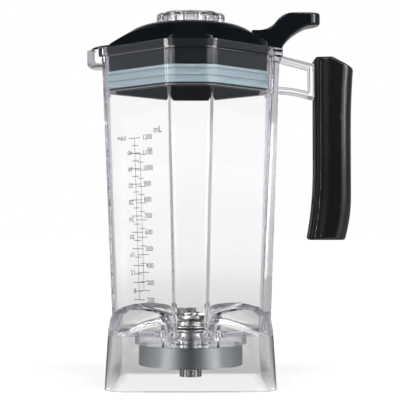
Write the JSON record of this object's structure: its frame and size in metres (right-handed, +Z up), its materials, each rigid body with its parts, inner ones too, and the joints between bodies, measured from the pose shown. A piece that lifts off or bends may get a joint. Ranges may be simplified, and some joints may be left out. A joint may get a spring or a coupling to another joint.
{
  "type": "blender jar",
  "caption": "Clear octagonal blender jar on a lobed skirt, with a black side handle, a plug-in lid with lift lever and twist cap, and a splined blade unit through its floor.",
  "frame": {"origin": "On the drive axis, on the plane that the skirt stands on.", "axes": "+Z is up along the drive axis, +X points to the handle, -X to the spout and -Y to the front."},
  "size_m": [0.1917, 0.1314, 0.2654],
  "materials": {
    "clear_plastic": "clear, polished, faint violet tint where it is thick",
    "cap_clear": "clear, polished",
    "handle_black": "satin black",
    "lid_black": "glossy black",
    "silicone": "pale translucent silicone",
    "dark_rubber": "matte black",
    "steel": "brushed",
    "blade_steel": "ground and brushed",
    "polished_metal": "polished",
    "spline_steel": "brushed"
  },
  "bodies": {
    "jar_unit": {"jar": "clear_plastic", "handle_front": "handle_black", "handle_grip": "handle_black", "handle_screws": "steel", "bearing_housing": "steel", "housing_gasket": "dark_rubber", "retainer_nut": "polished_metal", "shaft_seal": "dark_rubber", "bearing_clip": "steel", "lower_bearing_outer": "steel", "upper_bearing_outer": "steel"},
    "rotor": {"blade_shaft": "steel", "lower_blade": "blade_steel", "upper_blade": "blade_steel", "blade_washer": "steel", "blade_nut": "steel", "lower_bearing_inner": "steel", "upper_bearing_inner": "steel", "bearing_spacer": "steel", "drive_spline": "spline_steel"},
    "ball_sets": {"lower_bearing_balls": "polished_metal", "upper_bearing_balls": "polished_metal"},
    "lid_unit": {"lid": "lid_black", "lid_seal": "silicone"},
    "cap_unit": {"cap": "cap_clear"}
  },
  "joints": [
    {"name": "blade_spin", "type": "hinge", "parent": "jar_unit", "child": "rotor", "pos_m": [0, 0, 0.03], "axis": [0, 0, 1], "continuous": true},
    {"name": "ball_orbit", "type": "hinge", "parent": "jar_unit", "child": "ball_sets", "pos_m": [0, 0, 0.024], "axis": [0, 0, 1], "continuous": true},
    {"name": "lid_lift", "type": "slide", "parent": "jar_unit", "child": "lid_unit", "axis": [0, 0, 1], "range_m": [0, 0.06]},
    {"name": "cap_twist", "type": "hinge", "parent": "lid_unit", "child": "cap_unit", "pos_m": [0, 0, 0.2565], "axis": [0, 0, 1], "range_deg": [0, 45]}
  ],
  "couplings": [
    {"joint": "ball_orbit", "follows": "blade_spin", "ratio": 0.3889}
  ]
}
